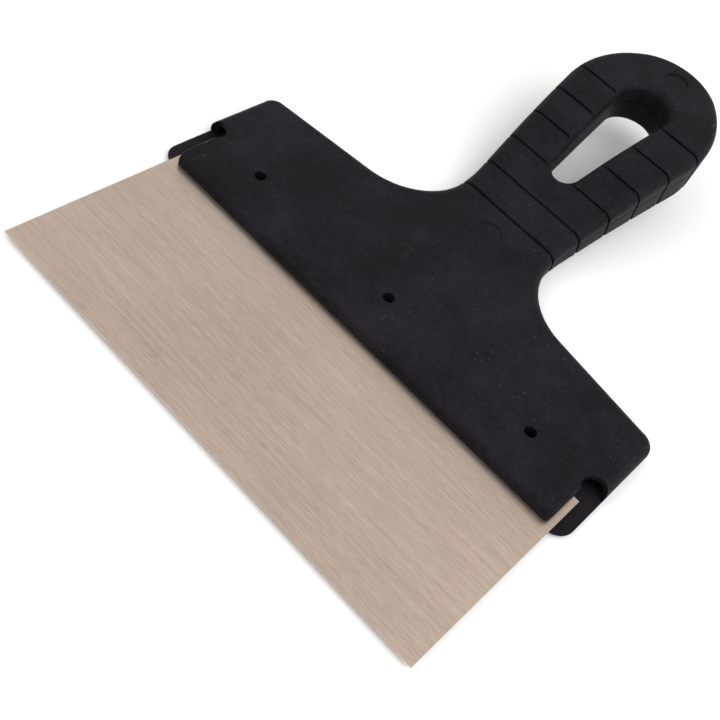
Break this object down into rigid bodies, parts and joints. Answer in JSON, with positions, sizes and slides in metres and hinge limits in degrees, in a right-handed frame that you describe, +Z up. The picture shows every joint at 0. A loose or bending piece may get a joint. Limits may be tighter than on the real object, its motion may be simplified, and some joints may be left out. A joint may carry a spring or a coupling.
{
  "type": "wide flexible putty knife",
  "caption": "Wide flexible putty knife: a thin brushed stainless blade in a black two-part moulded handle with a grooved loop grip.",
  "frame": {"origin": "centre of the object's footprint, on the surface the handle's underside rests on", "axes": "+X across the blade, +Y from the blade's front edge towards the hand loop, +Z up out of the handle's top face"},
  "size_m": [0.264, 0.367, 0.0532],
  "materials": {
    "blade_steel": "fine brushing along the blade's width",
    "upper_plastic": "fine moulded grain",
    "lower_plastic": "fine moulded grain",
    "pin_plastic": "smooth"
  },
  "bodies": {
    "root": {"blade": "blade_steel", "handle_upper_half": "upper_plastic", "handle_lower_half": "lower_plastic", "handle_pins": "pin_plastic"}
  },
  "joints": []
}
